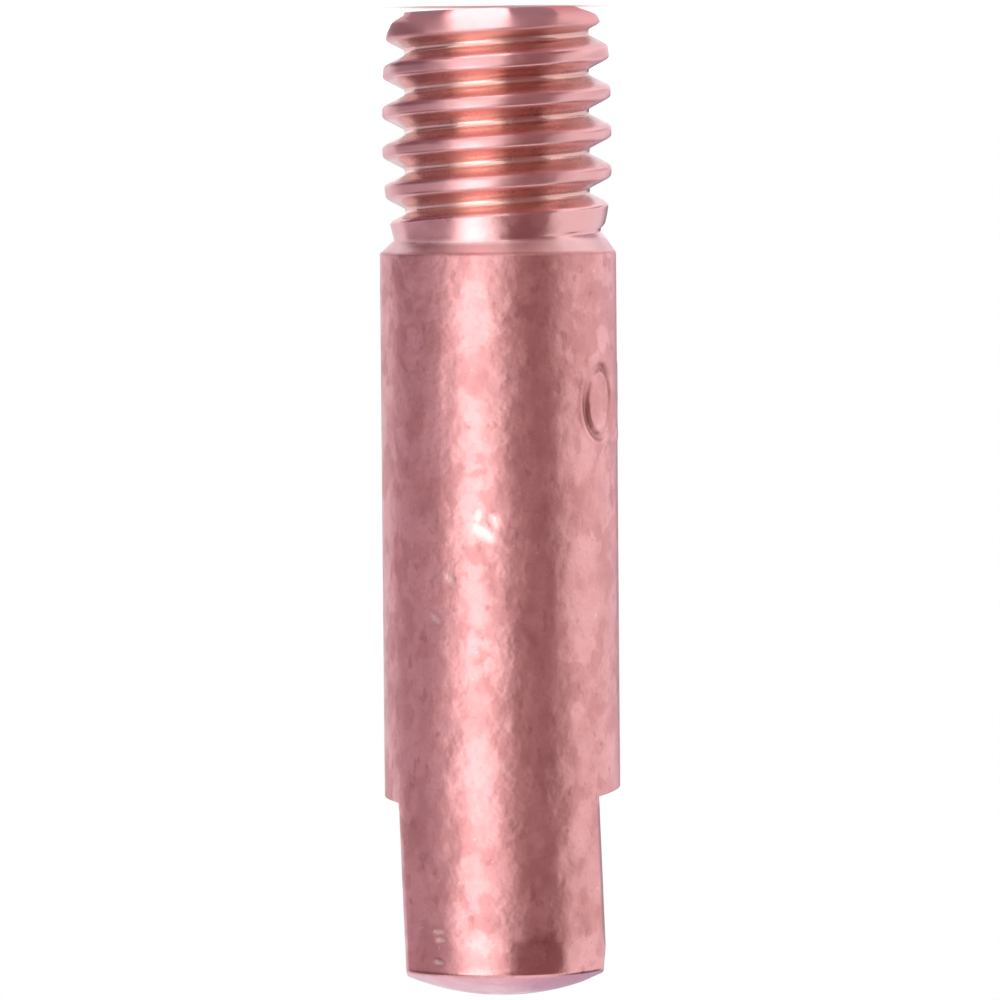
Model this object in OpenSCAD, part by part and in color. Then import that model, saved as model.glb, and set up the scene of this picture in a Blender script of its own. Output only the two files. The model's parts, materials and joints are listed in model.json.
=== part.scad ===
// Contact tip of a wire-feed welding torch: one turned, threaded and flatted piece of copper.
// It stands on its threaded end, with +Z towards the domed end that the wire leaves by.
// The origin is the centre of the threaded end's face. Lengths are in millimetres, angles in degrees.

/* [Body] */
// Length from the threaded end's face to the crown of the dome
overall_length = 25; // [20:0.5:45]
// Diameter of the plain body
body_d = 6; // [5.8:0.1:8]
// Radius of the dome on the front end
dome_r = 6.3; // [4.5:0.1:20]

/* [Threaded shank] */
// Length of the shank, from its end face to where the plain body starts
shank_length = 6.2; // [5:0.1:9]
// Diameter over the crests of the thread
thread_d = 5.8; // [5:0.02:6]
// Pitch of the right-hand thread
thread_pitch = 1; // [0.75:0.05:1.25]
// Angle about the axis at which the middle of the groove leaves the end face
thread_start = 306; // [0:1:359]
// Turns over which the groove dies away at the neck
runout_turns = 0.4; // [0.3:0.05:1.5]
// Diameter of the flat end face
end_d = 4; // [3:0.1:4.5]
// Height of the bevel round the end face
end_bevel = 0.18; // [0.1:0.02:0.5]
// Diameter at which that bevel meets the lead-in's gentler cone
lead_d = 5; // [4.6:0.1:5.4]
// Height at which the lead-in reaches the crests of the thread
lead_in = 0.9; // [0.6:0.05:1.5]

/* [Neck] */
// Diameter of the neck at the foot of the body's bevel
neck_d = 5.26; // [5:0.02:5.6]
// Length of the straight part of the neck
neck_length = 0.1; // [0.05:0.05:1.2]
// Height of the taper from the thread's crests down to the neck
neck_taper = 1.3; // [0.1:0.05:2]
// Slope of the bevel from the neck up to the body, measured from the axis
bevel_angle = 45; // [30:1:60]

/* [Wrench flats] */
// Width across the two flats
flat_width = 5.05; // [4.5:0.05:5.6]
// Length of the flats, from their shoulder to the crown of the dome
flat_length = 5; // [3:0.1:9]
// Slope of the shoulders that end the flats
shoulder_slope = 8; // [0:1:45]
// Lean of the pressed flats away from the axis
flat_lean = 2.1; // [0:0.1:3]

/* [Wire bore] */
// Diameter of the bore for a 0.8 mm wire
bore_d = 0.95; // [0.7:0.05:1.8]
// Diameter of the funnel where the wire enters
entry_d = 2; // [1.9:0.1:2.8]
// Angle of the funnel from wall to wall
entry_angle = 60; // [40:5:100]
// Width of the broken edge where the wire leaves
exit_break = 0.1; // [0.05:0.05:0.3]

/* [Hidden] */
$fn = 96;

copper = [0.79, 0.52, 0.49];
body_r = body_d / 2;
thread_r = thread_d / 2;
neck_r = neck_d / 2;
bore_r = bore_d / 2;

// Heights along the turned profile
bevel_height = (body_r - neck_r) / tan(bevel_angle);
neck_top = shank_length - bevel_height;
neck_bottom = neck_top - neck_length;
taper_bottom = neck_bottom - neck_taper;
dome_centre = overall_length - dome_r;
flat_middle = overall_length - flat_length / 2;
entry_depth = (entry_d - bore_d) / 2 / tan(entry_angle / 2);

// How far a cutter stands clear of the surface that it leaves
clear = 1;

// Metric thread form: depth, root width and flank lean as shares of the pitch
flank_angle = 30;
thread_depth = 5 / 8 * sqrt(3) / 2 * thread_pitch;
root_width = thread_pitch / 6;
root_r = thread_r - thread_depth;

// The groove's cutter reaches just outside the crests, so that its turns stay apart
cutter_gap = thread_pitch / 20;
cutter_r = thread_r + cutter_gap;

// Straight steps of the cutter in a turn
cutter_steps = 36;

// The groove starts under the end face and has died away where the neck's bevel begins
function half_width(r) = root_width / 2 + (cutter_r - r) * tan(flank_angle);
first_turn = -(half_width(root_r) + cutter_gap) / thread_pitch;
last_turn = (neck_top - half_width(neck_r)) / thread_pitch;
full_turn = last_turn - runout_turns;
last_step = ceil((last_turn - first_turn) * cutter_steps);

// Radius of the groove's floor at a turn: the root, then a straight climb out past the neck's surface
function floor_r(turn) = root_r
    + (neck_r + cutter_gap - root_r) * max(0, (turn - full_turn) / runout_turns);

// The groove's four corners at a turn, floor first, in the plane that holds the axis
function groove_corners(turn) = let (r = floor_r(turn), z = thread_pitch * turn, w = half_width(r))
    [[r, z - root_width / 2], [r, z + root_width / 2], [cutter_r, z + w], [cutter_r, z - w]];

// Those corners turned about the axis to their place on the helix
function groove_ring(turn) = let (a = thread_start + 360 * turn)
    [for (c = groove_corners(turn)) [c[0] * cos(a), c[0] * sin(a), c[1]]];

function step_turn(i) = first_turn + (last_turn - first_turn) * i / last_step;

// Helical cutter that leaves the thread standing: a trapezoid carried along the groove
module thread_groove() {
    points = [for (i = [0 : last_step]) each groove_ring(step_turn(i))];
    walls = [for (i = [0 : last_step - 1], k = [0 : 3])
        let (a = 4 * i + k, b = 4 * i + (k + 1) % 4)
        each [[a, a + 4, b + 4], [a, b + 4, b]]];
    start_cap = [[0, 1, 2], [0, 2, 3]];
    end_cap = [for (t = start_cap) [for (j = [2 : -1 : 0]) 4 * last_step + t[j]]];
    polyhedron(points, concat(start_cap, walls, end_cap));
}

// Bar turned to the shank's and the body's diameters
module turned_bar() {
    rotate_extrude()
        polygon([
            [0, 0],
            [end_d / 2, 0],
            [lead_d / 2, end_bevel],
            [thread_r, lead_in],
            [thread_r, taper_bottom],
            [neck_r, neck_bottom],
            [neck_r, neck_top],
            [body_r, shank_length],
            [body_r, overall_length],
            [0, overall_length]
        ]);
}

// What comes off the front end to leave the dome
module dome_turning() {
    translate([0, 0, dome_centre])
        difference() {
            cylinder(r = dome_r + clear, h = dome_r + clear);
            sphere(r = dome_r);
        }
}

// What comes off both sides to leave the flats and their sloping shoulders
module flat_cuts() {
    reach = body_d;
    shoulder = -flat_length / 2;
    translate([0, 0, flat_middle])
        rotate([0, -flat_lean, 0])
            for (side = [0, 1])
                mirror([side, 0, 0])
                    rotate([90, 0, 0])
                        linear_extrude(height = 2 * body_d, center = true)
                            polygon([
                                [flat_width / 2, shoulder],
                                [reach, shoulder - (reach - flat_width / 2) * tan(shoulder_slope)],
                                [reach, flat_length],
                                [flat_width / 2, flat_length]
                            ]);
}

// Bore for the wire, with its entry funnel and the broken edge of its exit
module wire_bore() {
    translate([0, 0, -clear])
        cylinder(r = bore_r, h = overall_length + 2 * clear);
    translate([0, 0, -clear])
        cylinder(r1 = entry_d / 2 + clear * tan(entry_angle / 2), r2 = bore_r, h = entry_depth + clear);
    translate([0, 0, overall_length - exit_break])
        cylinder(r1 = bore_r, r2 = bore_r + 2 * exit_break, h = 2 * exit_break);
}

module contact_tip() {
    color(copper)
        difference() {
            turned_bar();
            thread_groove();
            dome_turning();
            flat_cuts();
            wire_bore();
        }
}

contact_tip();
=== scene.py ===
"""Looks of a welding contact tip: one piece of bare copper that stands on its threaded end.

The geometry functions work in millimetres and degrees in the part's own frame, and the mesh is
written in metres. The main picture is turned over, so that the thread is at its top.
"""

import json
import math

import bpy
import numpy as np
from mathutils import Matrix, Vector


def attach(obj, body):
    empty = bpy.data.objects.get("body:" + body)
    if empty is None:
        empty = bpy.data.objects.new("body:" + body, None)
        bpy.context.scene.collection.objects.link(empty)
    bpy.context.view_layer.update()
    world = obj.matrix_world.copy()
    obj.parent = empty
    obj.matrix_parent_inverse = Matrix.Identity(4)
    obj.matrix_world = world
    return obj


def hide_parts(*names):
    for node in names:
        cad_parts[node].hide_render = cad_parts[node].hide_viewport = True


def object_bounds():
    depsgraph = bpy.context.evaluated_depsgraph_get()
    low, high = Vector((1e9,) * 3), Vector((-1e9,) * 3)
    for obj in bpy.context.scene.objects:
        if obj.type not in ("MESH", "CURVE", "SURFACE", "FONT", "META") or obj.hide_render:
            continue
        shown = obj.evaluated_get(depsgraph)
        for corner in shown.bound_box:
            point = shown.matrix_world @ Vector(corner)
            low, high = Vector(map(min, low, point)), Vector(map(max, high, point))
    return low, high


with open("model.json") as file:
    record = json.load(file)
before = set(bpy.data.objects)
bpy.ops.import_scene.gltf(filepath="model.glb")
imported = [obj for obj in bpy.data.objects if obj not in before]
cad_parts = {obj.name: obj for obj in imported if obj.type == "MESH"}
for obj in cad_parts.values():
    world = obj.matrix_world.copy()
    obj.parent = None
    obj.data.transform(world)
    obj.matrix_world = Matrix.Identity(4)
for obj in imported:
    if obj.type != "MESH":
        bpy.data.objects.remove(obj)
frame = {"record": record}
cad_low, cad_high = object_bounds()
mounts = {m["name"]: m for m in frame["record"]["mounts"]}

MM = 0.001

# Directions round the tip: the camera looks at the front, and the picture's right is towards -X
FRONT = 270.0

# Turned profile: radii, and heights above the threaded end's face. The body leaves room inside the
# solid's box for the lips round the stamp.
LIP_ROOM = 0.015
LIP = 0.97 * LIP_ROOM
BODY_R = cad_high.x / MM - LIP_ROOM
BORE_R = mounts["wire_bore"]["dims"]["r_mm"]
CREST_R = mounts["thread"]["dims"]["r_mm"]
NECK_R = CREST_R - 0.28
END_R = 1.95
SHANK = 6.2
CROWN = 25.0
DOME_R = 6.3
DOME_ROWS = 15
EXIT_BREAK = 0.1
HOLE_R = BORE_R + 0.8 * EXIT_BREAK
FUNNEL_R = 1.0
FUNNEL_HALF_ANGLE = 30.0
FUNNEL_DEPTH = (FUNNEL_R - BORE_R) / math.tan(math.radians(FUNNEL_HALF_ANGLE))

# The shank before it is threaded, from its end up: heights, and how far it lies under the crests
SHANK_Z = [0.0, 0.18, 0.3, 0.66, 1.2, 2.0, 4.2, 5.1, 5.95]
SHANK_UNDER = [CREST_R - END_R, 0.38, 0.29, 0.13, 0.05, 0.0, 0.0, 0.1, CREST_R - NECK_R]
SHANK_SOFT = 0.05

# The foot of the body's bevel: its mean height, its tilt, and the direction in which it is highest
NECK_TOP = 5.77
NECK_TILT = 0.15
NECK_HIGH = 315.0

# Thread: the groove's section, and the turns over which it dies away at the neck
PITCH = 1.0
FLANK = math.tan(math.radians(27))
ROOT_HALF = 0.075 * PITCH
ROOT_R = CREST_R - 0.565 * PITCH
THREAD_START = 306.0
FULL_TURNS = 5.2
RUNOUT_TURNS = 0.6
FLOOR_RISE = NECK_R + 0.08 - ROOT_R
ROOT_SOFT = 0.07
CREST_SOFT = 0.13
BURR = 0.01

# Rows of the thread's section, from the groove's middle to the crest, as shares of the pitch
SECTION_PHASES = [0, .05, .07, .09, .12, .18, .25, .31, .34, .36, .38, .41, .455]
TURNS_DRAWN = np.arange(-1, 8)

# How far under the bar's surface metal counts as cut by the thread
CUT_FROM = 0.08
CUT_FULL = 0.25

# The end face was cut a little out of square: its slope across X
END_SLOPE = math.tan(math.radians(1.7))

# Wrench flats: they lean with their mounts, and end in shoulders that slope back
FLAT_LENGTH = 5.0
SHOULDER_Z = CROWN - FLAT_LENGTH
SHOULDER_SLOPE = 8.0
SET_BACK_A = 0.09
SET_BACK_B = 0.05

# The upright edges between the flats and the round body are rubbed off over this width. The rubbing
# fades out on the dome, between two depths in from the sides, and between two heights over the shoulder.
EDGE_BREAK = 0.12
EDGE_IN_FROM_SIDE = (0.15, 0.02)
EDGE_OVER_SHOULDER = (0.05, 0.3)

# The flat on the picture's right is worn back a little towards the rim
WORN_FROM = 23.6
WORN_RUN = 0.7
WORN_BACK = 0.07
WORN_INNER_X = 1.9
WORN_OUTER_X = 2.4
# The painted shade along the right flat's front edge fades out between these heights, towards the worn end
EDGE_SHADE_FROM = WORN_FROM + 0.2
EDGE_SHADE_FULL = WORN_FROM - 0.3

# Roundings of the turned corners, as lengths cut back along each side, at most this share of a side
MOST_CUT = 0.45
BRIDGE_ROWS = 5
BREAK = 0.05
RIM_BREAK = 0.09
HOLLOW_BREAK = 0.06
HOLE_BREAK = 0.02
THROAT_BREAK = 0.1
FUNNEL_BREAK = 0.03

# Stamp: the wire's size in plain numbers, read with the thread up
STAMP_Z = 9.93
STAMP_TURN = 57.5
STAMP_DEPTH = 0.075
STROKE = 0.13
DIGIT_GAP = 1.08

# The punch went in unevenly: its mean depth, how much that changes, and the area that sets how fast
PUNCH_MEAN = 0.7
PUNCH_CHANGE = 0.4
PUNCH_AREA = 0.25

# Its rings on the unrolled body: centre across and up, half width and half height
DIGIT_RINGS = [
    (0, 0, 0.57, 0.88),
    (2 * DIGIT_GAP, 0.43, 0.42, 0.38),
    (2 * DIGIT_GAP, -0.41, 0.51, 0.46),
]
POINT_DOWN = 0.8
POINT_R = 0.02

# Dints on the unrolled body, from a place on the front: where, which way, how long and how wide
NICK_Z = 12.93
NICK_TURN = -6.5
DINTS = [
    (-0.12, -0.23, -38, 0.32, 0.15),
    (-0.22, 0.23, 80, 0.16, 0.11),
    (0.16, 0.08, -70, 0.19, 0.1),
    (-1.0, -1.35, -50, 0.18, 0.07),
    (-1.4, -2.36, -37, 0.2, 0.07),
    (-1.39, -10.22, 0, 0.16, 0.06),
    (-1.33, -10.43, 0, 0.13, 0.08),
    (-1.39, -10.99, -20, 0.13, 0.08),
]
DINT_DEPTH = 0.2

# Marks are pressed only into the round body, clear of its ends and of the shoulders
MARKS_SKIN = 0.02
MARKS_FROM = SHANK + 0.2
MARKS_TO = 24.3
SHOULDER_MIDDLE = SHOULDER_Z + 0.05
SHOULDER_CLEAR = 0.35

# Close columns and rows of the skin: where they start, and how far they reach round the marks
FIRST_ROW = SHANK + 0.3
STAMP_COLUMNS_FROM = 158
FRONT_COLUMNS_FROM = 228
STAMP_ROWS_HALF = 1.15
NICK_ROWS_ABOVE = 0.9
NICK_ROWS_TO = 15.9
LAST_ROW = SHOULDER_Z - 0.4

# Copper of the shank
CREST_COPPER = (0.84, 0.45, 0.455)
CUT_COPPER = (0.88, 0.55, 0.49)
# Painted shade: darker copper for the grooves on the picture's right
GROOVE_SHADE_COPPER = (0.76, 0.45, 0.41)
# Painted sheen: lighter copper on the bevel, so that its reflection reads pale
BEVEL_SHEEN_COPPER = (0.93, 0.6, 0.6)

# Copper of the body, from its ground to what lies on it
BODY_COPPER = (0.83, 0.41, 0.415)
BLOTCH_COPPER = (0.71, 0.33, 0.33)
DARK_PATCH = (0.64, 0.28, 0.28)
LIGHT_PATCH = (0.86, 0.45, 0.45)
SPECK_COPPER = (0.56, 0.24, 0.235)
STAIN_COPPER = (0.5, 0.2, 0.2)
FLECK_COPPER = (0.95, 0.6, 0.6)
# Painted shade in the stamped strokes
STAMP_SHADE_COPPER = (0.3, 0.12, 0.11)
# Lighter, cleaner copper in the dints, partly a painted highlight of their facets
DINT_COPPER_AND_HIGHLIGHT = (0.95, 0.67, 0.63)
# Painted shade: a dark line along the right flat's front edge
EDGE_SHADE_COPPER = (0.38, 0.22, 0.23)
# Painted reflection: a bluish tint over the dome, for the pale surroundings it mirrors
DOME_REFLECTION_TINT = (0.86, 0.44, 0.5)
# Painted reflection: a bluish tint of the metal's grazing reflections, for lavender surroundings at the rims
GRAZING_REFLECTION_TINT = (0.87, 0.92, 1.0, 1.0)

# Finish: roughness of the shank and of the body, and the depth of the waves in the body's skin
SHANK_ROUGHNESS = 0.2
BODY_ROUGHNESS = 0.34
WAVE_DEPTH = 0.04

# Zones of the finish, each from where it starts to where it is full: heights, and X for the grooves' painted
# shade
BODY_ZONE = (SHANK - 0.1, SHANK + 0.05)
BEVEL_ZONE = (NECK_TOP, NECK_TOP + 0.15)
UNDER_BODY_ZONE = (SHANK + 0.05, SHANK - 0.02)
FIRST_BAND_ZONE = (1.0, 0.6)
BELOW_NECK_ZONE = (NECK_TOP - 0.7, NECK_TOP - 1.0)
GROOVE_SHADE_ZONE = (-0.7, -1.3)
RUBBED_ZONE = (23.7, 24.05)
RUBBED_STRAY = 1.2
CALM_ZONE = (22.6, 24.0)
DOME_ZONE = (24.25, 24.33)

# Studio: distances from the tip's axis, and heights. The floor's cards lie just clear of the floor.
FLOOR_SIDE = 1500
FLOOR_PAINT = (0.92, 0.92, 0.92)
FLOOR_GLOW = 0.3
FOOT = END_R + 0.2
NEAR = 3.7
BAND = 12
MIDDLE = 40
NECK_CARD_FAR = 225
FAR = 260
CLEAR = 0.02
BACK_STEP = 50
LEFT_STEP = 75
TOP = 320
FLANK_LOW = 150
FLANK_HIGH = 400
NECK_DARK_LOW = 75
NECK_DARK_HIGH = 135
NECK_BRIGHT_LOW = 80
NECK_BRIGHT_HIGH = 125

# Soft boxes: the turn from the camera's side, distance and height of the middle, size and radiance
SOFT_BOX = dict(turn=-25, distance=240, height=110, width=180, tall=220, radiance=0.59)
SOFT_BOX_CORE = dict(turn=-26, distance=235, height=105, width=75, tall=210, radiance=0.59)

# Cards' colours
DARK = (0.24, 0.125, 0.13)
BROWN = (0.32, 0.18, 0.19)
GREY = (0.4, 0.32, 0.36)
ROSE = (0.6, 0.52, 0.58)
DUSK = (0.22, 0.14, 0.17)
PALE = (0.65, 0.55, 0.65)
DEEP = (0.15, 0.12, 0.14)
NEAR_WHITE = (2.2, 2.2, 2.2)
FAR_WHITE = (2.6, 2.6, 2.6)
NECK_WHITE = (3.2, 3.2, 3.2)

# Turns of the cards' two edges, from the camera's side towards the picture's right
RIGHT = (7, 63)
LEFT = (-49, -123)
FAR_RIGHT = (85, 140)
FLANK_RIGHT = (95, 155)
BACK = (156, 178)
BACK_LOW = (153, 180)
NECK_DARK = (-6, 7)
NECK_BRIGHT = (-46, -13)
NEAR_RIGHT = (9, 41)
NEAR_LEFT = (-34, -72)
NEAR_BRIGHT = (-29, 8)
FAR_BRIGHT = (-37, -17)

# Camera: its distance from the axis, its height, the height at the picture's middle, and its scale
CAMERA_FAR = 190.0
CAMERA_Z = 3.0
MIDDLE_Z = 12.46
PIXELS_PER_MM = 39.51
PICTURE = 1000
SENSOR = 36.0
LEAN = 0.49
CLIP_START = 0.01
CLIP_END = 10


def soft_min(a, b, width):
    """Smaller of a and b, with the corner where they cross rounded by a parabola of that width."""
    h = np.clip(0.5 + 0.5 * (b - a) / width, 0, 1)
    return b + (a - b) * h - width * h * (1 - h)


def soft_max(a, b, width):
    """Larger of a and b, rounded in the same way."""
    return -soft_min(-a, -b, width)


def smooth_step(x, low, high):
    """0 below low, 1 above high, and a cubic ramp between them."""
    t = np.clip((x - low) / (high - low), 0, 1)
    return t * t * (3 - 2 * t)


def half_turned(angle):
    """The same direction as an angle from -180 to 180."""
    return (angle + 180) % 360 - 180


def even_steps(stops):
    """Values in even steps: each stop gives a start, an end that is left out, and a count."""
    return np.concatenate([np.linspace(a, b, n, endpoint=False) for a, b, n in stops])


class Flat:
    """One leaning flat: the straight line in X and Z that its mount lies on."""

    def __init__(self, name, side, set_back):
        mount = mounts[name]
        self.side = side
        self.x0, self.z0 = mount["pos_m"][0] / MM, mount["pos_m"][2] / MM
        self.slope = -mount["axis"][2] / mount["axis"][0]
        lean = math.atan(self.slope)
        middle = CROWN - FLAT_LENGTH / 2
        half = self.x0 * math.cos(lean) - (middle - self.z0) * math.sin(lean)
        back = FLAT_LENGTH / 2 + set_back
        # Inner corner of the shoulder, half the flats' length and a little more back from their middle
        self.corner_z = middle - half * math.sin(lean) - back * math.cos(lean)
        self.corner_x = self.x(self.corner_z)
        self.ramp = math.tan(math.radians(SHOULDER_SLOPE) + side * lean)

    def x(self, z):
        """X of the flat at height z."""
        return self.x0 + self.slope * (z - self.z0)

    def edge(self, z):
        """Angle from the X axis at which the flat runs out into the round body at height z."""
        return np.degrees(np.arccos(np.abs(self.x(z)) / BODY_R))


flat_a = Flat("wrench_flat_a", 1, SET_BACK_A)
flat_b = Flat("wrench_flat_b", -1, SET_BACK_B)
flats = [flat_a, flat_b]


def flat_edges(z_a, z_b):
    """The five angles between which the columns run: both edges of each flat, and the first once more."""
    a, b = flat_a.edge(z_a), flat_b.edge(z_b)
    return np.array([-a, a, 180 - b, 180 + b, 360 - a])


def column_angles():
    """Angles of the columns: even steps between stops, close together at the stamp and at the front."""
    e = flat_edges(flat_a.corner_z, flat_b.corner_z)
    return even_steps([(e[0], e[1], 20), (e[1], e[2], 38), (e[2], STAMP_COLUMNS_FROM, 5),
                       (STAMP_COLUMNS_FROM, e[3], 96), (e[3], FRONT_COLUMNS_FROM, 20),
                       (FRONT_COLUMNS_FROM, e[4], 72)])


ANGLES = column_angles()


def polar(r, angle, z):
    """Points at radius r, at an angle round the axis and at height z, as an array of X, Y and Z."""
    r, angle, z = np.broadcast_arrays(r, np.radians(angle), z)
    return np.stack([r * np.cos(angle), r * np.sin(angle), z], axis=-1)


def bar_radius(z):
    """Radius of the shank before it is threaded: straight runs, averaged over a short height."""
    spread = np.linspace(-SHANK_SOFT, SHANK_SOFT, 5)
    return CREST_R - np.mean([np.interp(z + s, SHANK_Z, SHANK_UNDER) for s in spread], axis=0)


def shank_radius(angles, z):
    """Radius of the threaded shank at an angle and a height.

    It is the bar's, or the groove's where that is smaller. The groove's middle climbs a pitch a turn.
    Its floor climbs out at the neck, and its two flanks are straight. Two crossed waves make the burr.
    """
    turns = z / PITCH - (angles - THREAD_START) / 360
    phase = turns - np.round(turns)
    made = z / PITCH - phase
    floor = ROOT_R + FLOOR_RISE * np.maximum(0, (made - FULL_TURNS) / RUNOUT_TURNS)
    groove = floor + soft_max(0 * z, (np.abs(phase) * PITCH - ROOT_HALF) / FLANK, ROOT_SOFT)
    burr = BURR * np.sin(np.radians(7 * angles) + 2.1 * z) * np.sin(np.radians(3 * angles) - 5 * z)
    return soft_min(bar_radius(z) + burr - BURR, groove, CREST_SOFT)


def end_rim(angles):
    """Radius and height at which the slanting end face meets the shank, closed in on by repeats."""
    r = np.full_like(angles, END_R)
    for _ in range(12):
        z = np.maximum(0, END_SLOPE * (r * np.cos(np.radians(angles)) + END_R))
        r = shank_radius(angles, z)
    return r, z


def neck_rim(angles):
    """Radius and height of the foot of the body's bevel, which runs a little askew like the thread."""
    z = NECK_TOP + NECK_TILT * np.cos(np.radians(angles - NECK_HIGH))
    return shank_radius(angles, z), z


def threaded_shank():
    """The shank on a grid that climbs with the thread.

    Column j stands at its angle, and a row keeps one phase of the thread's section, so that its height
    is the pitch times the turns made plus that phase. The row one pitch on carries it past the last
    column. Heights stop at the end face and at the foot of the bevel.
    """
    half = np.array(SECTION_PHASES)
    phases = np.concatenate([[-0.5], -half[:0:-1], half])
    angles = np.append(ANGLES, ANGLES[0] + 360)
    turns = TURNS_DRAWN[:, None, None] + phases[None, :, None] + (angles - THREAD_START) / 360
    z = PITCH * turns.reshape(-1, len(angles))
    z = np.clip(z, end_rim(angles)[1], neck_rim(angles)[1])
    return polar(shank_radius(angles, z), angles, z)


def bent_line(corners, cuts, shares):
    """Rows along a line through rows of corners.

    Each inner corner is cut back by its own length along both sides, at most to near the middle of a
    side, and bridged by a parabola. Each straight run gets rows at the given shares of its length.
    """
    rows = [corners[0]]
    start = corners[0]
    last = len(corners) - 1
    t = np.linspace(0, 1, BRIDGE_ROWS)[:, None, None]
    for k in range(1, last):
        here = corners[k]
        back, on = corners[k - 1] - here, corners[k + 1] - here
        lengths = [np.linalg.norm(v, axis=1, keepdims=True) for v in (back, on)]
        cut = np.minimum(cuts[k], MOST_CUT * np.minimum(*lengths))
        before = here + back / np.maximum(lengths[0], 1e-9) * cut
        after = here + on / np.maximum(lengths[1], 1e-9) * cut
        rows += [start + (before - start) * s for s in shares[k - 1]]
        rows += list((1 - t) ** 2 * before + 2 * t * (1 - t) * here + t ** 2 * after)
        start = after
    rows += [start + (corners[last] - start) * s for s in shares[last - 1]]
    return np.array(rows + [corners[last]])


def shoulder_rows():
    """Outer and inner edge of the shoulders at each column.

    On a flat the inner edge is its corner, and the outer edge lies back from it along the ramp. Between
    the flats both are one line from corner to corner.
    """
    c = np.cos(np.radians(ANGLES))
    line = np.interp(c * BODY_R, [flat_b.corner_x, flat_a.corner_x], [flat_b.corner_z, flat_a.corner_z])
    outer, inner_r = line.copy(), np.full_like(c, BODY_R)
    for f in flats:
        on = f.side * c * BODY_R > abs(f.corner_x)
        outer = np.where(on, f.corner_z - f.ramp * (np.abs(c) * BODY_R - abs(f.corner_x)), outer)
        inner_r = np.where(on, f.corner_x / np.where(on, c, 1), inner_r)
    return polar(BODY_R, ANGLES, outer), polar(inner_r, ANGLES, line)


def dome_height(r):
    """Height of the front end's sphere at radius r."""
    return CROWN - DOME_R + np.sqrt(DOME_R ** 2 - r ** 2)


def rim_ring():
    """Angles and radii of the rim, where the sides meet the dome. Its columns follow the flats' edges."""
    rim_z = dome_height(BODY_R)
    angles = np.interp(ANGLES, flat_edges(flat_a.corner_z, flat_b.corner_z), flat_edges(rim_z, rim_z))
    c = np.cos(np.radians(angles))
    r = np.full_like(c, BODY_R)
    for _ in range(4):
        z = dome_height(r)
        facing = [f.side * c > 0.1 for f in flats]
        cuts = [np.where(on, f.x(z) / np.where(on, c, 1), BODY_R) for f, on in zip(flats, facing)]
        r = np.minimum(BODY_R, np.minimum(*cuts))
    return angles, r


def body_heights():
    """Heights of the rows along the plain body: close at the stamp and at the nick, wide elsewhere."""
    stamp_low, stamp_high = STAMP_Z - STAMP_ROWS_HALF, STAMP_Z + STAMP_ROWS_HALF
    nick_low = NICK_Z - NICK_ROWS_ABOVE
    rows = even_steps([(FIRST_ROW, stamp_low, 8), (stamp_low, stamp_high, 70), (stamp_high, nick_low, 5),
                       (nick_low, NICK_ROWS_TO, 52), (NICK_ROWS_TO, LAST_ROW, 10)])
    return np.append(rows, LAST_ROW)


def sides_and_dome():
    """From the top of the neck over the bevel, body, shoulders and flats to the dome's hole."""
    neck_r, neck_z = neck_rim(ANGLES)
    outer, inner = shoulder_rows()
    rim_angles, rim_r = rim_ring()
    dome_r = rim_r + (HOLE_R - rim_r) * np.linspace(0, 1, DOME_ROWS)[1:, None]
    dome = polar(dome_r, rim_angles, dome_height(dome_r))
    corners = [polar(neck_r, ANGLES, neck_z), polar(BODY_R, ANGLES, SHANK), outer, inner,
               polar(rim_r, rim_angles, dome_height(rim_r)), dome[0]]
    body = (body_heights() - SHANK) / (SHOULDER_Z - SHANK)
    wall = np.concatenate([[.015, .05, .14, .28, .44, .6], np.linspace(.74, .98, 26)])
    sides = bent_line(corners, [0, BREAK, BREAK, HOLLOW_BREAK, RIM_BREAK, 0],
                      [[.3, .7], body, [.3, .7], wall, [.3, .65]])
    return np.concatenate([sides, dome[1:]])


def bore_and_end():
    """From the dome's hole down the bore and out over the funnel to the end face's rim."""
    rim_angles, _ = rim_ring()
    rim_r, rim_z = end_rim(ANGLES)
    funnel_z = END_SLOPE * (FUNNEL_R * np.cos(np.radians(ANGLES)) + END_R)
    corners = [polar(HOLE_R, rim_angles, dome_height(HOLE_R)),
               polar(BORE_R, rim_angles, CROWN - EXIT_BREAK),
               polar(BORE_R, ANGLES, FUNNEL_DEPTH),
               polar(FUNNEL_R, ANGLES, funnel_z),
               polar(rim_r, ANGLES, rim_z)]
    return bent_line(corners, [0, HOLE_BREAK, THROAT_BREAK, FUNNEL_BREAK, 0],
                     [[.5], [.01, .1, .5, .9], [.2, .6], [.06, .3, .7, .95]])


def ring_distance(u, v, across, up, half_width, half_height):
    """Distance from an ellipse's line, to first order: its level less one, over the level's slope."""
    x, y = (u - across) / half_width, (v - up) / half_height
    level = np.maximum(np.hypot(x, y), 1e-3)
    return np.abs(level - 1) * level / np.maximum(np.hypot(x / half_width, y / half_height), 1e-3)


def stamp_shares(u, v):
    """How deep the stamped digits 0, point and 8 are, and how high their lips stand, as shares.

    Both follow the distance from the strokes' middle lines: the depth as a rounded trough, and the lip
    as a bell just outside it. The punch went in unevenly, deeper at two ends of a diagonal.
    """
    point = np.hypot(u - DIGIT_GAP, v + POINT_DOWN) - POINT_R
    distance = np.minimum.reduce([point] + [ring_distance(u, v, *ring) for ring in DIGIT_RINGS]) / STROKE
    uneven = PUNCH_MEAN + PUNCH_CHANGE * np.clip(u * v / PUNCH_AREA, -1, 1)
    depth = uneven * np.clip(1 - distance ** 2, 0, 1) ** 1.5
    lip = np.exp(-((distance - 1.5) / 0.5) ** 2)
    return depth, lip


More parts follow.
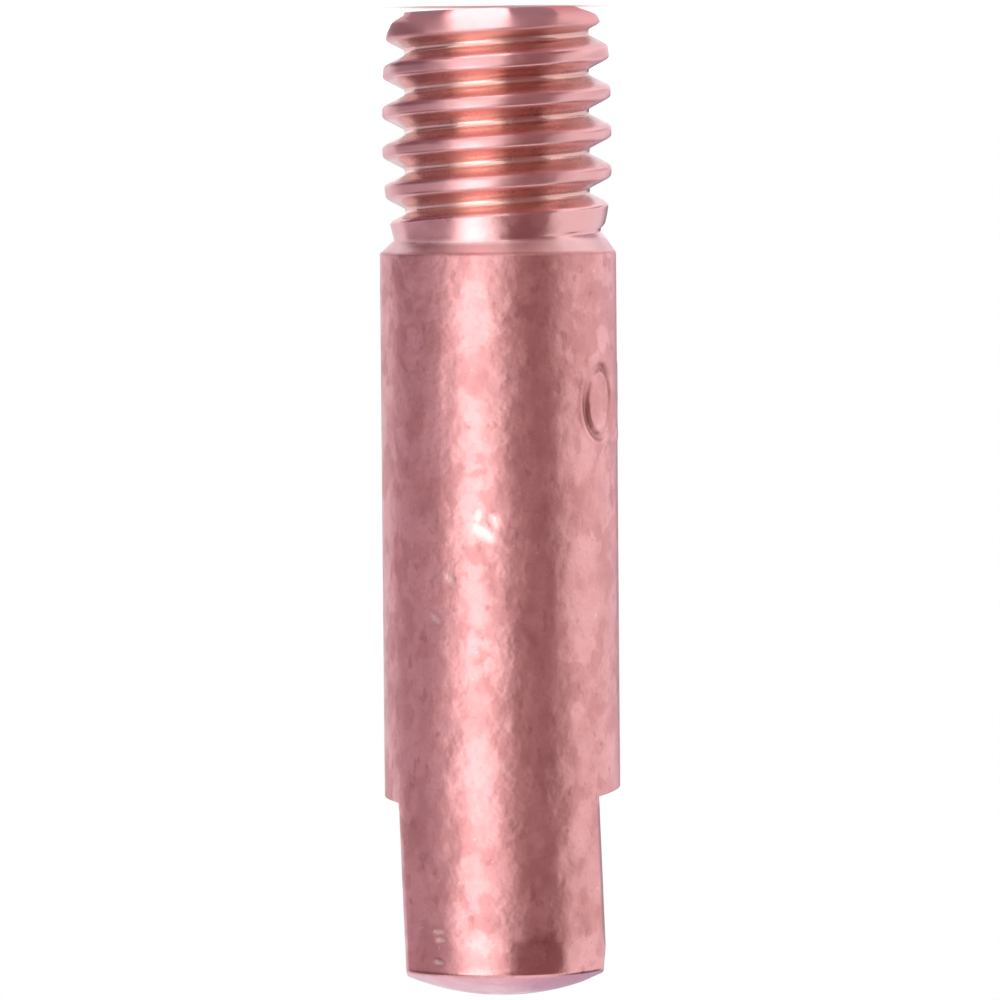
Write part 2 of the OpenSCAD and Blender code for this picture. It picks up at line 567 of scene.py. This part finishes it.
def dint_shares(u, v):
    """How far each point lies in a dint, from 0 to 1, and how deep it is pressed in.

    A dint is an ellipse with a flat floor and soft edges, as deep as a share of its width.
    """
    share, depth = np.zeros_like(u), np.zeros_like(u)
    for across, up, turn, long, wide in DINTS:
        c, s = math.cos(math.radians(turn)), math.sin(math.radians(turn))
        lengthwise = (u - across) * c + (v - up) * s
        crosswise = (v - up) * c - (u - across) * s
        inside = 1 - smooth_step((lengthwise / long) ** 2 + (crosswise / wide) ** 2, 0.1, 2.0)
        share = np.maximum(share, inside)
        depth = np.maximum(depth, DINT_DEPTH * wide * inside)
    return share, depth


def rubbed_edges(r, angle, z):
    """How far in the flats' upright edges are rubbed, and how much painted shade lies on the right flat's
    front edge.

    Where a flat and the round body differ by less than the rubbed width, the drop is a quarter of that
    width times the square of the missing share. It fades out on the dome and at the shoulder. The
    painted shade ends where the flat is worn.
    """
    drops, shares = [], []
    for f in flats:
        c = np.maximum(f.side * np.cos(np.radians(angle)), 0.1)
        flat_r = np.abs(f.x(z)) / c
        side = np.minimum(flat_r, BODY_R)
        on_side = smooth_step(r, side - EDGE_IN_FROM_SIDE[0], side - EDGE_IN_FROM_SIDE[1])
        past_shoulder = smooth_step(z, *[f.corner_z + over for over in EDGE_OVER_SHOULDER])
        share = np.clip(1 - np.abs(flat_r - BODY_R) / EDGE_BREAK, 0, 1)
        drops.append(EDGE_BREAK / 4 * share ** 2 * on_side * past_shoulder)
        shares.append(share * on_side * past_shoulder)
    at_front = np.sin(np.radians(angle)) < 0
    unworn = 1 - smooth_step(z, EDGE_SHADE_FULL, EDGE_SHADE_FROM)
    return np.maximum(*drops), np.where(at_front, shares[1] * unworn, 0)


def marked(points):
    """Presses the marks into the skin, and gives each point's share in the marks, in the thread's cut and in
    the painted shade on the right flat's front edge.

    They are drawn on the unrolled body: u runs to the picture's right, which is against the angle,
    and v runs up the picture, which is towards the thread. The right flat's worn end is drawn back too.
    """
    x, y, z = points.T
    r, angle = np.hypot(x, y), np.degrees(np.arctan2(y, x))
    turn = half_turned(FRONT - angle)
    on_body = (r > BODY_R - MARKS_SKIN) & (z > MARKS_FROM) & (z < MARKS_TO)
    on_body &= np.abs(z - SHOULDER_MIDDLE) > SHOULDER_CLEAR
    stamp, lip = stamp_shares(np.radians(half_turned(turn - STAMP_TURN)) * BODY_R, STAMP_Z - z)
    dint, depth = dint_shares(np.radians(turn - NICK_TURN) * BODY_R, NICK_Z - z)
    stamp, lip, dint, depth = (np.where(on_body, share, 0) for share in (stamp, lip, dint, depth))
    drop, edge_shade = rubbed_edges(r, angle, z)
    pressed = STAMP_DEPTH * stamp + depth + drop
    scale = 1 + (LIP * lip - pressed) / np.maximum(r, 1e-6)
    towards_rim = smooth_step(z, WORN_FROM, WORN_FROM + WORN_RUN)
    worn = WORN_BACK * towards_rim * smooth_step(-x, WORN_INNER_X, WORN_OUTER_X)
    on_thread = (r > ROOT_R - 0.1) & (z < NECK_TOP)
    cut = np.where(on_thread, smooth_step(bar_radius(z) - r, CUT_FROM, CUT_FULL), 0)
    moved = np.stack([x * scale + worn, y * scale, z], axis=-1)
    return moved, {"stamped": stamp, "dinted": dint, "cut": cut, "edge_shade": edge_shade}


def grid_faces(rows, columns, first, closed):
    """Quads of a grid of points numbered row by row from first.

    A closed grid joins its last column to its first.
    """
    i = np.arange(rows - 1)[:, None]
    j = np.arange(columns if closed else columns - 1)[None, :]
    k = (j + 1) % columns
    quad = [i * columns + j, i * columns + k, (i + 1) * columns + k, (i + 1) * columns + j]
    return first + np.stack(quad, axis=-1).reshape(-1, 4)


def joined_mesh(name, grids):
    """One mesh from grids that share their border rows.

    Equal points are merged, and collapsed quads become triangles or go.
    """
    points, quads, count = [], [], 0
    for grid, closed in grids:
        rows, columns = grid.shape[:2]
        points.append(grid.reshape(-1, 3))
        quads.append(grid_faces(rows, columns, count, closed))
        count += rows * columns
    points, quads = np.concatenate(points), np.concatenate(quads)
    _, keep, same = np.unique(np.round(points, 5), axis=0, return_index=True, return_inverse=True)
    points, marks = marked(points[keep])
    quads = same.reshape(-1)[quads]
    repeats = quads == np.roll(quads, -1, axis=1)
    whole = quads[~repeats.any(axis=1)]
    once = repeats.sum(axis=1) == 1
    # A quad with one repeated corner starts after the repeat, and its last corner is the repeat
    order = (np.argmax(repeats[once], axis=1)[:, None] + 1 + np.arange(3)) % 4
    thirds = np.take_along_axis(quads[once], order, axis=1)
    mesh = bpy.data.meshes.new(name)
    mesh.from_pydata((points * MM).tolist(), [], whole.tolist() + thirds.tolist())
    mesh.polygons.foreach_set("use_smooth", np.ones(len(mesh.polygons), bool))
    for mark, shares in marks.items():
        mesh.attributes.new(mark, "FLOAT", "POINT").data.foreach_set("value", shares.astype(np.float32))
    mesh.update()
    return mesh


class Nodes:
    """Short hand for a material's or world's node tree."""

    def __init__(self, owner):
        owner.use_nodes = True
        self.tree = owner.node_tree
        self.tree.nodes.clear()

    def plug(self, socket, value):
        """Links another node's output to a socket, or sets the socket's own value."""
        if isinstance(value, bpy.types.NodeSocket):
            self.tree.links.new(value, socket)
        else:
            socket.default_value = value

    def add(self, kind, settings=None, **inputs):
        """A node of that kind with its settings. An input is named, or numbered as i0, i1 and so on."""
        node = self.tree.nodes.new(kind)
        for key, value in (settings or {}).items():
            setattr(node, key, value)
        for key, value in inputs.items():
            numbered = key[0] == "i" and key[1:].isdigit()
            self.plug(node.inputs[int(key[1:]) if numbered else key.replace("_", " ")], value)
        return node

    def attribute(self, name):
        """Value of one of the mesh's own attributes."""
        return self.add("ShaderNodeAttribute", {"attribute_name": name}).outputs["Fac"]

    def noise(self, place, scale, detail, roughness=0.55):
        """Value of a fractal noise at a place."""
        return self.add("ShaderNodeTexNoise", Vector=place, Scale=scale, Detail=detail,
                        Roughness=roughness).outputs["Fac"]

    def ramp(self, value, low, high, to_low=0.0, to_high=1.0):
        """Value carried from one range to another along a smooth step."""
        return self.add("ShaderNodeMapRange", {"interpolation_type": "SMOOTHSTEP"}, Value=value, From_Min=low,
                        From_Max=high, To_Min=to_low, To_Max=to_high).outputs["Result"]

    def vector(self, operation, **inputs):
        """Result of an operation on vectors."""
        return self.add("ShaderNodeVectorMath", {"operation": operation}, **inputs).outputs[0]

    def maths(self, operation, **inputs):
        """Result of an operation on numbers."""
        return self.add("ShaderNodeMath", {"operation": operation}, **inputs).outputs[0]

    def sum(self, a, b, share):
        """a plus share times b."""
        return self.maths("MULTIPLY_ADD", i0=b, i1=share, i2=a)

    def product(self, a, b):
        """a times b."""
        return self.maths("MULTIPLY", i0=a, i1=b)

    def mix_colour(self, share, a, b):
        """Colour a turned to b by a share."""
        node = self.add("ShaderNodeMix", {"data_type": "RGBA"}, i0=share)
        for socket, colour in ((node.inputs[6], a), (node.inputs[7], b)):
            self.plug(socket, (*colour, 1) if isinstance(colour, tuple) else colour)
        return node.outputs[2]


def copper_material():
    """Bare copper: satin and blotchy on the body, cleaner where the thread and the neck were cut."""
    material = bpy.data.materials.new("bare_copper")
    n = Nodes(material)
    place = n.add("ShaderNodeTexCoord").outputs["Object"]
    in_mm = n.vector("SCALE", i0=place, Scale=1 / MM)
    axes = n.add("ShaderNodeSeparateXYZ", Vector=in_mm).outputs
    height = axes["Z"]
    stamped, dinted, cut, edge_shade = (n.attribute(name) for name in ("stamped", "dinted", "cut", "edge_shade"))

    # Zones: the body, the bevel under it, the first band and the crests of the thread, the grooves on
    # the picture's right, which get painted shade, and the front end that wear has rubbed smooth
    on_body = n.ramp(height, *BODY_ZONE)
    bevel = n.ramp(height, *BEVEL_ZONE)
    bevel_alone = n.product(bevel, n.ramp(height, *UNDER_BODY_ZONE))
    first_band = n.ramp(height, *FIRST_BAND_ZONE)
    crest = n.product(n.ramp(cut, 0, 0.5, 1, 0), n.ramp(height, *BELOW_NECK_ZONE))
    groove_shade = n.product(cut, n.ramp(axes["X"], *GROOVE_SHADE_ZONE))
    border = n.sum(height, n.noise(in_mm, 0.9, 2), RUBBED_STRAY)
    rubbed = n.ramp(border, *RUBBED_ZONE)

    # Handling marks are drawn out along the tip, and the patches have strayed edges
    drawn = n.vector("MULTIPLY", i0=in_mm, i1=(1, 1, 0.6))
    blotch = n.noise(drawn, 1.3, 3, 0.5)
    stain = n.noise(drawn, 3.4, 2, 0.45)
    mottle = n.noise(in_mm, 2.5, 2, 0.5)
    speck = n.noise(in_mm, 9.0, 2, 0.6)
    fleck = n.noise(in_mm, 7.0, 1, 0.5)
    stray = n.add("ShaderNodeTexNoise", Vector=in_mm, Scale=2.4, Detail=3).outputs["Color"]
    strayed = n.vector("MULTIPLY_ADD", i0=stray, i1=(0.7, 0.7, 0.7), i2=in_mm)
    cells = n.add("ShaderNodeTexVoronoi", {"feature": "SMOOTH_F1"}, Vector=strayed, Scale=2.1, Smoothness=0.7)
    patch = n.add("ShaderNodeSeparateColor", Color=cells.outputs["Color"]).outputs["Red"]

    shank = CREST_COPPER
    # Painted shade darkens the grooves on the picture's right, and a painted sheen lightens the bevel
    for share, colour in ((cut, CUT_COPPER), (groove_shade, GROOVE_SHADE_COPPER), (bevel, BEVEL_SHEEN_COPPER)):
        shank = n.mix_colour(share, shank, colour)

    # Each layer of the body: what draws it, where it starts and is full, its greatest share, its colour
    layers = [
        (blotch, 0.38, 0.66, 1, BLOTCH_COPPER),
        (patch, 0.5, 0.72, 0.4, DARK_PATCH),
        (patch, 0.45, 0.24, 0.25, LIGHT_PATCH),
        (speck, 0.55, 0.68, 0.28, SPECK_COPPER),
        (stain, 0.63, 0.72, 0.45, STAIN_COPPER),
        (fleck, 0.73, 0.79, 0.5, FLECK_COPPER),
        # Painted shade in the stamped strokes
        (stamped, 0.1, 0.8, 0.45, STAMP_SHADE_COPPER),
        # Lighter, cleaner copper in the dints, partly a painted highlight of their facets
        (dinted, 0, 1, 0.72, DINT_COPPER_AND_HIGHLIGHT),
        # Painted shade along the right flat's front edge
        (edge_shade, 0.1, 0.75, 0.8, EDGE_SHADE_COPPER),
        # A bluish tint over the dome, a painted reflection of pale surroundings
        (height, *DOME_ZONE, 0.7, DOME_REFLECTION_TINT),
    ]
    body = BODY_COPPER
    for drawing, start, full, share, colour in layers:
        body = n.mix_colour(n.ramp(drawing, start, full, 0, share), body, colour)
    colour = n.mix_colour(on_body, shank, body)

    rough = n.ramp(on_body, 0, 1, SHANK_ROUGHNESS, BODY_ROUGHNESS)
    for zone, more in ((patch, 0.14), (rubbed, -0.14), (first_band, 0.13), (crest, 0.08), (bevel_alone, 0.2)):
        rough = n.sum(rough, zone, more)

    # The body's skin waves a little, less on the shank and towards the front end
    waves = n.sum(n.noise(drawn, 1.25, 1, 0.5), mottle, 0.6)
    waves = n.product(n.sum(waves, speck, 0.04), n.ramp(on_body, 0, 1, 0.2, 1))
    waves = n.product(waves, n.ramp(height, *CALM_ZONE, 1, 0.35))
    bump = n.add("ShaderNodeBump", Strength=1.0, Distance=WAVE_DEPTH * MM, Height=waves)
    shader = n.add("ShaderNodeBsdfPrincipled", Base_Color=colour, Metallic=1.0, Roughness=rough,
                   Specular_Tint=GRAZING_REFLECTION_TINT, Normal=bump.outputs[0])
    n.add("ShaderNodeOutputMaterial", Surface=shader.outputs[0])
    return material


def contact_tip():
    """The whole tip as one closed skin that stands for the turned solid."""
    grids = [(threaded_shank(), False), (sides_and_dome(), True), (bore_and_end(), True)]
    piece = bpy.data.objects.new("contact_tip_copper", joined_mesh("contact_tip_copper", grids))
    piece.data.materials.append(copper_material())
    bpy.context.scene.collection.objects.link(piece)
    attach(piece, "root")
    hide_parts("contact_tip")


def floor_material():
    """Pale matt paint, with a little glow for the rays that show the background."""
    material = bpy.data.materials.new("pale_floor")
    n = Nodes(material)
    paint = n.add("ShaderNodeBsdfDiffuse", Color=(*FLOOR_PAINT, 1)).outputs[0]
    ray = n.add("ShaderNodeLightPath").outputs
    seen = n.maths("MAXIMUM", i0=ray["Is Camera Ray"], i1=ray["Is Glossy Ray"])
    seen = n.maths("MAXIMUM", i0=seen, i1=ray["Is Transmission Ray"])
    light = n.add("ShaderNodeEmission", Strength=n.product(seen, FLOOR_GLOW)).outputs[0]
    both = n.add("ShaderNodeAddShader", i0=paint, i1=light).outputs[0]
    n.add("ShaderNodeOutputMaterial", Surface=both)
    return material


def card_material(name, colour):
    """A card's own even brightness, which no shadow changes."""
    material = bpy.data.materials.new(name)
    n = Nodes(material)
    glow = n.add("ShaderNodeEmission", Color=(*colour, 1)).outputs[0]
    n.add("ShaderNodeOutputMaterial", Surface=glow)
    return material


def stage_sheet(name, corners, material):
    """A four-cornered sheet of the studio, from one pair of corners to the other, in millimetres."""
    mesh = bpy.data.meshes.new(name)
    mesh.from_pydata((np.array(corners, float) * MM).tolist(), [], [[0, 1, 3, 2]])
    sheet = bpy.data.objects.new(name, mesh)
    mesh.materials.append(material)
    bpy.context.scene.collection.objects.link(sheet)
    return sheet


def studio_place(turn, distance, height):
    """A point of the studio: turned from the camera's side towards the picture's right, in millimetres."""
    angle = math.radians(FRONT - turn)
    return Vector((distance * math.cos(angle), distance * math.sin(angle), height))


def card(name, colour, turns, start, end):
    """A card that only the metal's reflections see.

    It runs between two turns from the camera's side, and from a start to an end that each give a
    distance from the axis and a height.
    """
    corners = [studio_place(turn, *place) for place in (start, end) for turn in turns]
    sheet = stage_sheet(name, corners, card_material(name, colour))
    sheet.visible_camera = False
    sheet.visible_shadow = False
    sheet.visible_diffuse = False


def soft_box(name, turn, distance, height, width, tall, radiance):
    """An upright soft box that faces the tip. Its power is its radiance times its area times pi."""
    data = bpy.data.lights.new(name, "AREA")
    data.shape = "RECTANGLE"
    data.size, data.size_y = width * MM, tall * MM
    data.energy = radiance * math.pi * data.size * data.size_y
    lamp = bpy.data.objects.new(name, data)
    place = studio_place(turn, distance, height)
    lamp.location = place * MM
    lamp.rotation_euler = (Vector((0, 0, height)) - place).to_track_quat("-Z", "Z").to_euler()
    lamp.visible_camera = False
    bpy.context.scene.collection.objects.link(lamp)


def studio():
    """White surroundings, a pale floor, a soft box left of the camera, and cards for the metal to mirror."""
    world = bpy.data.worlds.new("studio")
    bpy.context.scene.world = world
    n = Nodes(world)
    glow = n.add("ShaderNodeBackground", Color=(1, 1, 1, 1), Strength=1.0)
    n.add("ShaderNodeOutputWorld", Surface=glow.outputs[0])
    floor_corners = [(x, y, 0) for y in (-FLOOR_SIDE, FLOOR_SIDE) for x in (-FLOOR_SIDE, FLOOR_SIDE)]
    stage_sheet("floor", floor_corners, floor_material())

    # Upright cards, which the body, the neck and the dome mirror
    card("right_card", DARK, RIGHT, (FAR, CLEAR), (FAR, TOP))
    card("left_card", ROSE, LEFT, (FAR, CLEAR), (FAR, LEFT_STEP))
    card("left_top_card", DUSK, LEFT, (FAR, LEFT_STEP), (FAR, TOP))
    card("flank_top_card", DUSK, FLANK_RIGHT, (FAR, FLANK_LOW), (FAR, FLANK_HIGH))
    card("back_card", PALE, BACK, (FAR, BACK_STEP), (FAR, TOP))
    card("back_low_card", DEEP, BACK_LOW, (FAR, CLEAR), (FAR, BACK_STEP))
    card("neck_dark_card", DARK, NECK_DARK, (FAR, NECK_DARK_LOW), (FAR, NECK_DARK_HIGH))
    card("neck_bright_card", NECK_WHITE, NECK_BRIGHT, (NECK_CARD_FAR, NECK_BRIGHT_LOW),
         (NECK_CARD_FAR, NECK_BRIGHT_HIGH))

    # Cards on the floor, which the thread and the bevels mirror
    card("right_floor_card", BROWN, RIGHT, (NEAR, CLEAR), (FAR, CLEAR))
    card("left_floor_card", DUSK, LEFT, (NEAR, CLEAR), (FAR, CLEAR))
    card("far_right_card", ROSE, FAR_RIGHT, (BAND, CLEAR), (MIDDLE, CLEAR))
    card("near_right_card", GREY, NEAR_RIGHT, (FOOT, CLEAR), (NEAR, CLEAR))
    card("near_left_card", GREY, NEAR_LEFT, (FOOT, CLEAR), (NEAR, CLEAR))
    card("near_bright_card", NEAR_WHITE, NEAR_BRIGHT, (FOOT, CLEAR), (NEAR, CLEAR))
    card("far_bright_card", FAR_WHITE, FAR_BRIGHT, (MIDDLE, CLEAR), (FAR, CLEAR))

    soft_box("soft_box", **SOFT_BOX)
    soft_box("soft_box_core", **SOFT_BOX_CORE)


def camera():
    """Looks along +Y with the picture's top towards -Z, turned a little about its own line of sight."""
    data = bpy.data.cameras.new("camera")
    eye, target = Vector((0, -CAMERA_FAR, CAMERA_Z)), Vector((0, 0, MIDDLE_Z))
    look = (target - eye).normalized()
    data.sensor_width = SENSOR
    data.lens = SENSOR * (target - eye).length * PIXELS_PER_MM / PICTURE
    data.clip_start, data.clip_end = CLIP_START, CLIP_END
    up = Vector((0, 0, -1))
    up = (up - look * up.dot(look)).normalized()
    right = look.cross(up)
    c, s = math.cos(math.radians(-LEAN)), math.sin(math.radians(-LEAN))
    across, upward = right * c + up * s, up * c - right * s
    turned = Matrix((across, upward, -look)).transposed()
    view = bpy.data.objects.new("camera", data)
    view.matrix_world = Matrix.Translation(eye * MM) @ turned.to_4x4()
    bpy.context.scene.collection.objects.link(view)
    bpy.context.scene.camera = view


camera()
contact_tip()
studio()
bpy.context.scene.view_settings.view_transform = "Standard"
